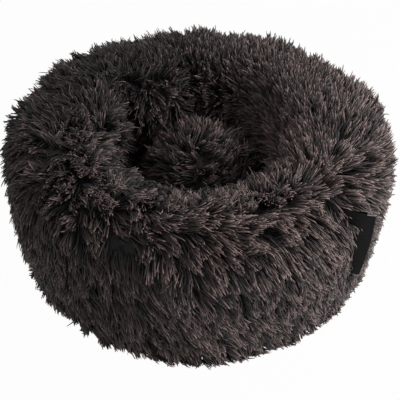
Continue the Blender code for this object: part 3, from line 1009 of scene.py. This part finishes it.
cushion_roots, cushion_normals = plant(
    cushion_skin, lock_spacing, lambda middles, facing: (facing[:, 2] > cushion_facing).astype(float)
)
from_middle = cushion_roots - nest_middle
near_side = soft_step((near_edge - from_middle[:, 1]) / near_blend)[:, None]
fall = from_middle * far_fan - up * fan_drop
fall = fall * (1 - near_side) + from_middle * near_fan * near_side
flow = unit(fall - cushion_normals * (fall * cushion_normals).sum(axis=1, keepdims=True))
flow = flow * (cushion_flow_shares[0] + cushion_flow_shares[1] * near_side)
rise = far_rise + near_rise * near_side
patch = drift(cushion_roots, cushion_patch_size, 4)
ruffle = drift(cushion_roots, cushion_ruffle_size, 5)
own = rng.normal(size=cushion_roots.shape) * cushion_own_share
stray = patch * (cushion_patch_shares[0] + cushion_patch_shares[1] * near_side)
stray = stray + ruffle * (cushion_ruffle_shares[0] + cushion_ruffle_shares[1] * near_side) + own
lean = unit(cushion_normals * cushion_raised_share + flow + rise + stray)
droop = lean * cushion_raised_share + flow + rise * cushion_droop_rise
droop = unit(droop - up * cushion_droop_down + stray)
length = pile_length * rng.uniform(*cushion_lock_lengths, len(cushion_roots)) * cushion_length_share
look["tone"] = cushion_tone + cushion_patch_tone * drift(cushion_roots, tone_patch_size, 6)[:, 0]
look["tone"] += rng.normal(size=len(cushion_roots)) * cushion_own_tone
look["floor"] = float(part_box("cushion_fur_panel")[0].z)
clumped = np.full(len(cushion_roots), cushion_clumped)
planted, lean, tips, clump, outer_edge = gather(cushion_roots, lean, droop, length, clumped)
chances = draw_chances(len(cushion_roots), look["strands"])
piece = grow("cushion_pile", planted, lean, tips, length, look, chances)
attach(piece, "cushion")
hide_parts("cushion_fur_panel")
print("cushion locks", len(cushion_roots))

# %% [markdown]
# ## A weave that several cloths share
# Lining, grip cloth, zip tape, ribbon and bag are all plain weaves that differ in how fine they are. One
# node group makes the weave from crossing threads, and each material places it with its own thread
# count. Its outputs are a thread height and a slow fade, which feed colour and bump. The colour is darker
# where a thread dips and paler where it rises: painted shade and light of the weave's relief.

# %% Build the weave group
def make_weave_group():
    group = bpy.data.node_groups.new("plain_weave", "ShaderNodeTree")
    group.interface.new_socket("Vector", in_out="INPUT", socket_type="NodeSocketVector")
    group.interface.new_socket("Threads", in_out="INPUT", socket_type="NodeSocketFloat")
    group.interface.new_socket("Height", in_out="OUTPUT", socket_type="NodeSocketFloat")
    group.interface.new_socket("Fade", in_out="OUTPUT", socket_type="NodeSocketFloat")
    nodes = group.nodes
    inside = nodes.new("NodeGroupInput")
    outside = nodes.new("NodeGroupOutput")

    def math_node(operation, *values):
        node = nodes.new("ShaderNodeMath")
        node.operation = operation
        for socket, value in zip(node.inputs, values):
            if isinstance(value, (int, float)):
                socket.default_value = value
            else:
                link(group, value, socket)
        return node.outputs[0]

    scaled = nodes.new("ShaderNodeVectorMath")
    scaled.operation = "SCALE"
    link(group, inside.outputs["Vector"], scaled.inputs["Vector"])
    link(group, inside.outputs["Threads"], scaled.inputs["Scale"])
    split = nodes.new("ShaderNodeSeparateXYZ")
    link(group, scaled.outputs["Vector"], split.inputs[0])
    across = split.outputs["X"]
    along = split.outputs["Y"]
    warp = math_node("ABSOLUTE", math_node("SINE", math_node("MULTIPLY", across, math.pi)))
    weft = math_node("ABSOLUTE", math_node("SINE", math_node("MULTIPLY", along, math.pi)))
    cell = math_node("ADD", math_node("FLOOR", across), math_node("FLOOR", along))
    over = math_node("PINGPONG", cell, 1.0)
    under = math_node("SUBTRACT", 1.0, over)
    height = math_node("ADD", math_node("MULTIPLY", warp, over), math_node("MULTIPLY", weft, under))
    link(group, height, outside.inputs["Height"])
    cloud = nodes.new("ShaderNodeTexNoise")
    cloud.inputs["Scale"].default_value = 0.05
    cloud.inputs["Detail"].default_value = 3.0
    link(group, scaled.outputs["Vector"], cloud.inputs["Vector"])
    link(group, cloud.outputs["Fac"], outside.inputs["Fade"])
    return group


weave_group = make_weave_group()


weave_shade_share = 0.45
weave_light_share = 1.30
fade_from = (0.3, 0.7)
fade_to = (0.82, 1.12)


def woven(name, colour, threads, roughness, depth):
    """A woven cloth: threads per metre, and how deep the weave is."""
    material, tree, shader = new_material(name, roughness)
    where = tree.nodes.new("ShaderNodeTexCoord").outputs["Object"]
    weave = tree.nodes.new("ShaderNodeGroup")
    weave.node_tree = weave_group
    weave.inputs["Threads"].default_value = threads
    link(tree, where, weave.inputs["Vector"])
    # Painted shade in the weave's hollows and painted light on its raised threads.
    deep = tuple(share * weave_shade_share for share in colour)
    pale = tuple(share * weave_light_share for share in colour)
    ramp = new_ramp(tree, ((0.1, deep), (0.9, pale)))
    link(tree, weave.outputs["Height"], ramp.inputs["Fac"])
    fade = tree.nodes.new("ShaderNodeMapRange")
    fade.inputs["From Min"].default_value, fade.inputs["From Max"].default_value = fade_from
    fade.inputs["To Min"].default_value, fade.inputs["To Max"].default_value = fade_to
    link(tree, weave.outputs["Fade"], fade.inputs["Value"])
    faded = tree.nodes.new("ShaderNodeVectorMath")
    faded.operation = "SCALE"
    link(tree, ramp.outputs["Color"], faded.inputs["Vector"])
    link(tree, fade.outputs["Result"], faded.inputs["Scale"])
    link(tree, faded.outputs["Vector"], shader.inputs["Base Color"])
    bump = tree.nodes.new("ShaderNodeBump")
    bump.inputs["Distance"].default_value = depth
    link(tree, weave.outputs["Height"], bump.inputs["Height"])
    link(tree, bump.outputs["Normal"], shader.inputs["Normal"])
    return material


def speckled(name, roughness, scale, stops, metallic=0.0, detail=2.0, bump_depth=0.0):
    """A plain material whose colour, and bump if it has one, wanders with noise."""
    material, tree, shader = new_material(name, roughness, metallic)
    cloud = tree.nodes.new("ShaderNodeTexNoise")
    cloud.inputs["Scale"].default_value = scale
    cloud.inputs["Detail"].default_value = detail
    link(tree, tree.nodes.new("ShaderNodeTexCoord").outputs["Object"], cloud.inputs["Vector"])
    ramp = new_ramp(tree, stops)
    link(tree, cloud.outputs["Fac"], ramp.inputs["Fac"])
    link(tree, ramp.outputs["Color"], shader.inputs["Base Color"])
    if bump_depth:
        bump = tree.nodes.new("ShaderNodeBump")
        bump.inputs["Distance"].default_value = bump_depth
        link(tree, cloud.outputs["Fac"], bump.inputs["Height"])
        link(tree, bump.outputs["Normal"], shader.inputs["Normal"])
    return material


# %% [markdown]
# ## Sheets and repeats
# A sheet of cloth starts as a flat grid whose points are moved to where the cloth lies, and gets its
# thickness from Solidify. What repeats, such as a grip dot, a stitch or a loop of the zip, is modelled
# once with operators, and its copies are set out by a formula.

# %% Helpers for sheets and repeats
def new_grid(name, columns, rows):
    """A flat grid from -1 to 1 both ways."""
    bpy.ops.object.select_all(action="DESELECT")
    bpy.ops.mesh.primitive_grid_add(x_subdivisions=columns, y_subdivisions=rows, size=2)
    obj = bpy.context.object
    obj.name = name
    return obj


def thicken(obj, thickness):
    solidify = obj.modifiers.new("cloth_thickness", "SOLIDIFY")
    solidify.thickness = thickness
    solidify.offset = 0
    apply_all(obj)
    bpy.ops.object.shade_smooth_by_angle(angle=math.radians(40))
    return obj


def take_shape(obj):
    """Read a modelled piece's points and faces, and remove the piece."""
    points = read_points(obj.data)
    faces = [list(face.vertices) for face in obj.data.polygons]
    bpy.data.objects.remove(obj)
    return points, faces


def repeat(name, shape, places, turns, material):
    """Copies of a shape at these places, each turned about Z by its own angle."""
    points, faces = shape
    mesh = bpy.data.meshes.new(name)
    turned = np.repeat(points[None], len(places), axis=0)
    cosine, sine = np.cos(turns)[:, None], np.sin(turns)[:, None]
    x = turned[:, :, 0] * cosine - turned[:, :, 1] * sine
    y = turned[:, :, 0] * sine + turned[:, :, 1] * cosine
    placed = np.stack([x, y, turned[:, :, 2]], axis=2) + places[:, None]
    step = len(points)
    every = [[corner + i * step for corner in face] for i in range(len(places)) for face in faces]
    mesh.from_pydata(placed.reshape(-1, 3).tolist(), [], every)
    mesh.materials.append(material)
    obj = bpy.data.objects.new(name, mesh)
    scene.collection.objects.link(obj)
    select_only(obj)
    bpy.ops.object.shade_smooth()
    return obj


def to_bed(obj, slot, *nodes, body="bed"):
    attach(obj, body)
    if nodes:
        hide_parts(*nodes)
    return obj


# %% Model a stitch
stitch_length = 0.0032
stitch_width = 0.0008
stitch_height = 0.0005
stitch_pitch = 0.0042

bpy.ops.object.select_all(action="DESELECT")
bpy.ops.mesh.primitive_uv_sphere_add(segments=8, ring_count=5, radius=0.5)
stitch = bpy.context.object
stitch.rotation_euler = (0, math.radians(90), 0)
bpy.ops.object.transform_apply(rotation=True)
stitch.scale = (stitch_length, stitch_width, stitch_height)
bpy.ops.object.transform_apply(scale=True)
stitch = take_shape(stitch)


def stitch_ring(name, radius, middle, level, material):
    count = int(2 * math.pi * radius / stitch_pitch)
    turns = np.arange(count) * 2 * math.pi / count
    rows = [radius * np.cos(turns) + middle[0], radius * np.sin(turns) + middle[1]]
    places = np.stack([*rows, np.full(count, level)], axis=1)
    return repeat(name, stitch, places, turns + math.pi / 2, material)


def stitch_line(name, start, end, rows, level, material):
    """Stitches along X at each of the rows, which are Y values."""
    count = int((end - start) / stitch_pitch)
    along = start + (np.arange(count) + 0.5) * (end - start) / count
    places = np.array([(x, y, level) for y in rows for x in along])
    return repeat(name, stitch, places, np.zeros(len(places)), material)


# %% [markdown]
# ## The nest's lining
# Under the loose cushion the nest has a floor of plain lining over a disc of wadding. It is seen when
# the cushion is taken out. A square grid is rounded into a disc, which leaves no pole in the middle, and
# the disc puckers a little along the seam that holds it.

# %% Lay the lining
lining_cloth = woven("dark_lining", (0.055, 0.049, 0.047), 900.0, 0.75, 0.0002)
thread_paint, tree, shader = new_material("sewing_thread", 0.6)
shader.inputs["Base Color"].default_value = (0.030, 0.026, 0.025, 1.0)
lining_cloth_thickness = 0.0007
pucker_height = 0.0003
pucker_count = 46
seam_inset = 0.0070


def round_sheet(name, node, columns, thickness, material):
    """A disc of cloth in the place of a node's disc, puckered along its edge."""
    low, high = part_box(node)
    middle = (low + high) / 2
    radius = (high.x - low.x) / 2
    obj = new_grid(name, columns, columns)
    points = read_points(obj.data)
    x, y = points[:, 0].copy(), points[:, 1].copy()
    points[:, 0] = x * np.sqrt(1 - y * y / 2)
    points[:, 1] = y * np.sqrt(1 - x * x / 2)
    reach = np.hypot(points[:, 0], points[:, 1])
    turn = np.arctan2(points[:, 1], points[:, 0])
    ripple = np.cos(turn * pucker_count) * np.exp(-(((1 - reach) * radius / seam_inset - 1) ** 2))
    points[:, :2] = points[:, :2] * radius + np.array(middle.xy)
    points[:, 2] = middle.z + ripple * pucker_height
    write_points(obj.data, points)
    obj.data.materials.append(material)
    return thicken(obj, thickness), middle, radius


lining, middle, radius = round_sheet(
    "nest_lining", "nest_floor_lining", 72, lining_cloth_thickness, lining_cloth
)
to_bed(lining, "lining", "nest_floor_lining")
top = middle.z + lining_cloth_thickness / 2
seam = stitch_ring("lining_stitches", radius - seam_inset, middle, top, thread_paint)
to_bed(seam, "lining")
print("lining", round(2 * radius, 4), "m across")

underside, middle, radius = round_sheet(
    "cushion_underside", "cushion_base_panel", 40, lining_cloth_thickness, lining_cloth
)
to_bed(underside, "lining", "cushion_base_panel", body="cushion")
level = middle.z - lining_cloth_thickness / 2
seam = stitch_ring("cushion_stitches", radius - seam_inset, middle, level, thread_paint)
to_bed(seam, "lining", body="cushion")

# %% [markdown]
# ## The anti-slip base
# The base is two half discs of black cloth that the zip joins, lifted to a shallow valley so that the
# zip and its pull never touch the floor. Small rubber dots on the cloth keep the bed from sliding.

# %% Make the two halves of the base
base_cloth_thickness = 0.0009
dot_height = 0.0005
dot_radius = 0.0014
dot_pitch = 0.0085
valley_half_length = 0.112
valley_half_width = 0.040
valley_end_slope = 0.010
valley_side_slope = 0.018
zip_edge = 0.0066
zip_slot_half_length = 0.0930
seam_half_gap = 0.0002
base_seam_inset = 0.0050

grip_cloth = woven("grip_cloth", (0.022, 0.022, 0.023), 700.0, 0.8, 0.0003)
rubber = speckled("grip_rubber", 0.42, 60.0, ((0.35, (0.014, 0.014, 0.015)), (0.65, (0.030, 0.030, 0.031))))

base_low, base_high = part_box("base_panel_front")
base_radius = (base_high.x - base_low.x) / 2
valley_lift = base_high.z - dot_height - base_cloth_thickness


def cloth_level(x, y):
    """Height of the base cloth's middle: low all over, lifted in the valley."""
    lengthwise = soft_step((valley_half_length - np.abs(x)) / valley_end_slope)
    sideways = soft_step((valley_half_width - np.abs(y)) / valley_side_slope)
    return dot_height + base_cloth_thickness / 2 + valley_lift * lengthwise * sideways


bpy.ops.object.select_all(action="DESELECT")
bpy.ops.mesh.primitive_uv_sphere_add(segments=8, ring_count=6, radius=1)
dot = bpy.context.object
bpy.ops.object.mode_set(mode="EDIT")
bpy.ops.mesh.select_all(action="SELECT")
bpy.ops.mesh.bisect(plane_co=(0, 0, 0), plane_no=(0, 0, 1), clear_outer=True, use_fill=True)
bpy.ops.object.mode_set(mode="OBJECT")
dot.scale = (dot_radius, dot_radius, dot_height)
bpy.ops.object.transform_apply(scale=True)
dot = take_shape(dot)

rows = np.arange(-60, 61)
dot_x, dot_y = np.meshgrid(rows * dot_pitch, rows * dot_pitch * math.sqrt(3) / 2)
dot_x = dot_x + (rows[:, None] % 2) * dot_pitch / 2
dot_x, dot_y = dot_x.ravel(), dot_y.ravel()
in_base = np.hypot(dot_x, dot_y) < base_radius - 2 * base_seam_inset
in_valley = (np.abs(dot_x) < valley_half_length + dot_radius) & (np.abs(dot_y) < valley_half_width)
dot_wanted = in_base & ~in_valley & (np.abs(dot_y) > 2 * dot_radius)
dot_places = np.stack([dot_x, dot_y, np.full(len(dot_x), dot_height)], axis=1)

for side, end in ((-1, "front"), (1, "rear")):
    half = new_grid(f"grip_base_{end}", 130, 56)
    points = read_points(half.data)
    x = base_radius * np.sin(points[:, 0] * math.pi / 2)
    near = np.where(np.abs(x) < zip_slot_half_length, zip_edge, seam_half_gap)
    rim = np.sqrt(np.maximum(base_radius**2 - x**2, 0))
    rim = np.maximum(rim, near + base_cloth_thickness)
    share = (points[:, 1] + 1) / 2
    y = side * (near + share * (rim - near))
    write_points(half.data, np.stack([x, y, cloth_level(x, y)], axis=1))
    half.data.materials.append(grip_cloth)
    thicken(half, base_cloth_thickness)
    panel = f"base_panel_{end}"
    to_bed(half, "grip_cloth", panel)
    mine = dot_wanted & (dot_y * side > 0)
    dots = repeat(f"grip_dots_{end}", dot, dot_places[mine], np.zeros(mine.sum()), rubber)
    to_bed(dots, "grip_cloth", panel)
    line = side * (zip_edge + stitch_width * 2)
    level = float(cloth_level(0.0, line)) - base_cloth_thickness / 2
    row = stitch_line(
        f"zip_stitches_{end}", -zip_slot_half_length, zip_slot_half_length, [line], level, thread_paint
    )
    to_bed(row, "grip_cloth")
    print(half.name, mine.sum(), "dots")
seam = stitch_ring("base_stitches", base_radius - base_seam_inset, (0, 0), dot_height, thread_paint)
to_bed(seam, "grip_cloth")

# %% [markdown]
# ## The zip
# A nylon coil zip: two woven tapes, each with a coil of stiff thread sewn to its edge. The loops of one
# coil lie between those of the other. One loop is a ring of few faces, squeezed and set across the zip.

# %% Make the coil and the tapes
loop_wire = 0.00040
loop_pitch = 0.0023
loop_overlap = 0.0004
tape_cloth = woven("zip_tape_cloth", (0.016, 0.016, 0.017), 1400.0, 0.7, 0.0002)
coil_paint = speckled("zip_nylon", 0.35, 180.0, ((0.3, (0.014, 0.014, 0.015)), (0.7, (0.040, 0.040, 0.042))))

chain_low, chain_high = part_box("zip_chain")
loop_tall = (chain_high.z - chain_low.z) / 2 - loop_wire
loop_wide = (chain_high.y + loop_overlap) / 2 - loop_wire
bpy.ops.object.select_all(action="DESELECT")
bpy.ops.mesh.primitive_torus_add(
    major_segments=10, minor_segments=4, major_radius=loop_wide, minor_radius=loop_wire,
    rotation=(0, math.radians(90), 0),
)
loop = bpy.context.object
bpy.ops.object.transform_apply(rotation=True)
loop_points, loop_faces = take_shape(loop)
loop_points[:, 2] *= loop_tall / loop_wide
loop_count = int((chain_high.x - chain_low.x - 2 * loop_wire) / loop_pitch)
first = chain_low.x + loop_wire
middle_level = (chain_low.z + chain_high.z) / 2
places = []
for i in range(loop_count):
    for side, step in ((1, 0.0), (-1, 0.5)):
        y = side * (chain_high.y - loop_wide - loop_wire)
        places.append((first + (i + step) * loop_pitch, y, middle_level))
coil = repeat("zip_coil", (loop_points, loop_faces), np.array(places), np.zeros(len(places)), coil_paint)
to_bed(coil, "zip_coil", "zip_chain")

for end in ("front", "rear"):
    node = f"zip_tape_{end}"
    low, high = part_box(node)
    tape = new_grid(f"woven_{node}", 96, 8)
    points = read_points(tape.data)
    points[:, 0] *= (high.x - low.x) / 2
    points[:, 1] = points[:, 1] * (high.y - low.y) / 2 + (low.y + high.y) / 2
    points[:, 2] = (low.z + high.z) / 2
    write_points(tape.data, points)
    tape.data.materials.append(tape_cloth)
    thicken(tape, high.z - low.z)
    to_bed(tape, "zip_tape", node)

metal_stops = ((0.30, (0.060, 0.060, 0.063)), (0.75, (0.130, 0.130, 0.134)))
metal = speckled("dark_cast_metal", 0.38, 900.0, metal_stops, metallic=0.9, detail=4.0, bump_depth=0.00005)
for node in ("zip_stop_closed_end", "zip_stop_open_end", "zip_slider", "zip_pull"):
    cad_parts[node].material_slots[0].material = metal

# %% [markdown]
# ## What fills the bed
# The fibre, the wadding and the bag round the fibre are never seen, but each is given a material: the bag a
# woven cloth, the fibre and the wadding one fibre material.

# %% Paint the hidden pieces
fibre_stops = ((0.3, (0.62, 0.62, 0.61)), (0.7, (0.86, 0.86, 0.85)))
fibre_paint = speckled("white_fibre", 0.95, 220.0, fibre_stops, detail=6.0, bump_depth=0.001)
bag_cloth = woven("white_bag_cloth", (0.70, 0.70, 0.69), 500.0, 0.85, 0.0002)
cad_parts["ring_inner_bag"].material_slots[0].material = bag_cloth
for node in ("ring_fibre_filling", "nest_floor_wadding", "cushion_fibre_filling"):
    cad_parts[node].material_slots[0].material = fibre_paint

# %% [markdown]
# ## The ribbon
# A black satin ribbon is folded double, and both its ends are caught in the outer wall's upright seam.
# It is one strip that goes out, turns tightly round and comes back, drawn in towards its foot where the
# wall curves under. It is left plain. The weave, and a pale line painted along the top edge at the fold
# as a highlight, follow the strip's own map.

# %% Fold the ribbon
label_tail = 0.0040
label_tuck_share = 0.35
label_fold_radius = 0.0007
label_belly = 0.0011
label_thickness = 0.0004
ribbon_rows = 28
ribbon_columns = 72
ribbon_colour = (0.0050, 0.0050, 0.0060)
ribbon_threads = 150.0
ribbon_packing = 1.6
ribbon_sway = 0.0012
sway_turns = 3.1
sway_start = 0.6
belly_foot_share = 0.6
highlight_colour = (0.42, 0.42, 0.43)
ribbon_specular = 0.12
ribbon_weave_shade_share = 0.6
ribbon_weave_light_share = 1.7
ribbon_bump = 0.00012
fold_share = 0.24
top_share = 0.985

ribbon = new_grid("folded_ribbon", ribbon_columns, ribbon_rows)
points = read_points(ribbon.data)
strip = label_width + label_tail
away = strip * np.abs(points[:, 0]) ** ribbon_packing
face = np.sign(points[:, 0])
turn = np.minimum(away / label_fold_radius, math.pi / 2)
straight = np.maximum(away - label_fold_radius * math.pi / 2, 0)
outward_share = label_width - label_fold_radius + label_fold_radius * np.cos(turn) - straight
level_down = (1 - points[:, 1]) / 2
belly = label_belly * np.sin(math.pi * np.clip(outward_share / label_width, 0, 1))
belly = belly * (1 - belly_foot_share * level_down)
sideways = face * (label_fold_radius * np.sin(turn) + belly)
sideways += ribbon_sway * np.sin(sway_turns * level_down + sway_start) * outward_share / label_width
outward_share *= 1 - label_tuck_share * level_down**2
points[:, 2] = label_middle_height + points[:, 1] * label_height / 2
across = label_root + label_ahead * outward_share[:, None] + label_beside * sideways[:, None]
points[:, :2] = across[:, :2]
write_points(ribbon.data, points)

satin, tree, shader = new_material("black_satin_ribbon", 0.55)
shader.inputs["Specular IOR Level"].default_value = ribbon_specular
place = tree.nodes.new("ShaderNodeUVMap")
place.uv_map = ribbon.data.uv_layers[0].name
ribbon_uv = tree.nodes.new("ShaderNodeSeparateXYZ")
link(tree, place.outputs["UV"], ribbon_uv.inputs[0])
weave = tree.nodes.new("ShaderNodeGroup")
weave.node_tree = weave_group
weave.inputs["Threads"].default_value = ribbon_threads
link(tree, place.outputs["UV"], weave.inputs["Vector"])
# Painted shade in the ribbon weave's hollows and painted light on its raised threads.
deep = tuple(share * ribbon_weave_shade_share for share in ribbon_colour)
pale = tuple(share * ribbon_weave_light_share for share in ribbon_colour)
ramp = new_ramp(tree, ((0.1, deep), (0.9, pale)))
link(tree, weave.outputs["Height"], ramp.inputs["Fac"])


def compare(tree, operation, source, value):
    node = tree.nodes.new("ShaderNodeMath")
    node.operation = operation
    link(tree, source, node.inputs[0])
    if isinstance(value, float):
        node.inputs[1].default_value = value
    else:
        link(tree, value, node.inputs[1])
    return node.outputs[0]


# Painted highlight: a pale line along the top edge at the fold, where the folded ribbon catches the light.
off_fold = compare(tree, "ABSOLUTE", compare(tree, "SUBTRACT", ribbon_uv.outputs["X"], 0.5), 0.0)
near_fold = compare(tree, "LESS_THAN", off_fold, fold_share)
at_top = compare(tree, "GREATER_THAN", ribbon_uv.outputs["Y"], top_share)
painted_highlight_edge = compare(tree, "MULTIPLY", near_fold, at_top)
highlight_mix = tree.nodes.new("ShaderNodeMix")
highlight_mix.data_type = "RGBA"
link(tree, painted_highlight_edge, highlight_mix.inputs["Factor"])
link(tree, ramp.outputs["Color"], highlight_mix.inputs[6])
highlight_mix.inputs[7].default_value = (*highlight_colour, 1.0)
link(tree, highlight_mix.outputs[2], shader.inputs["Base Color"])
bump = tree.nodes.new("ShaderNodeBump")
bump.inputs["Distance"].default_value = ribbon_bump
link(tree, weave.outputs["Height"], bump.inputs["Height"])
link(tree, bump.outputs["Normal"], shader.inputs["Normal"])
ribbon.data.materials.append(satin)
thicken(ribbon, label_thickness)
to_bed(ribbon, "ribbon", "side_label")

# %% Measure and finish
low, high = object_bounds()
print("visual box", [round(x, 4) for x in (*low, *high)])
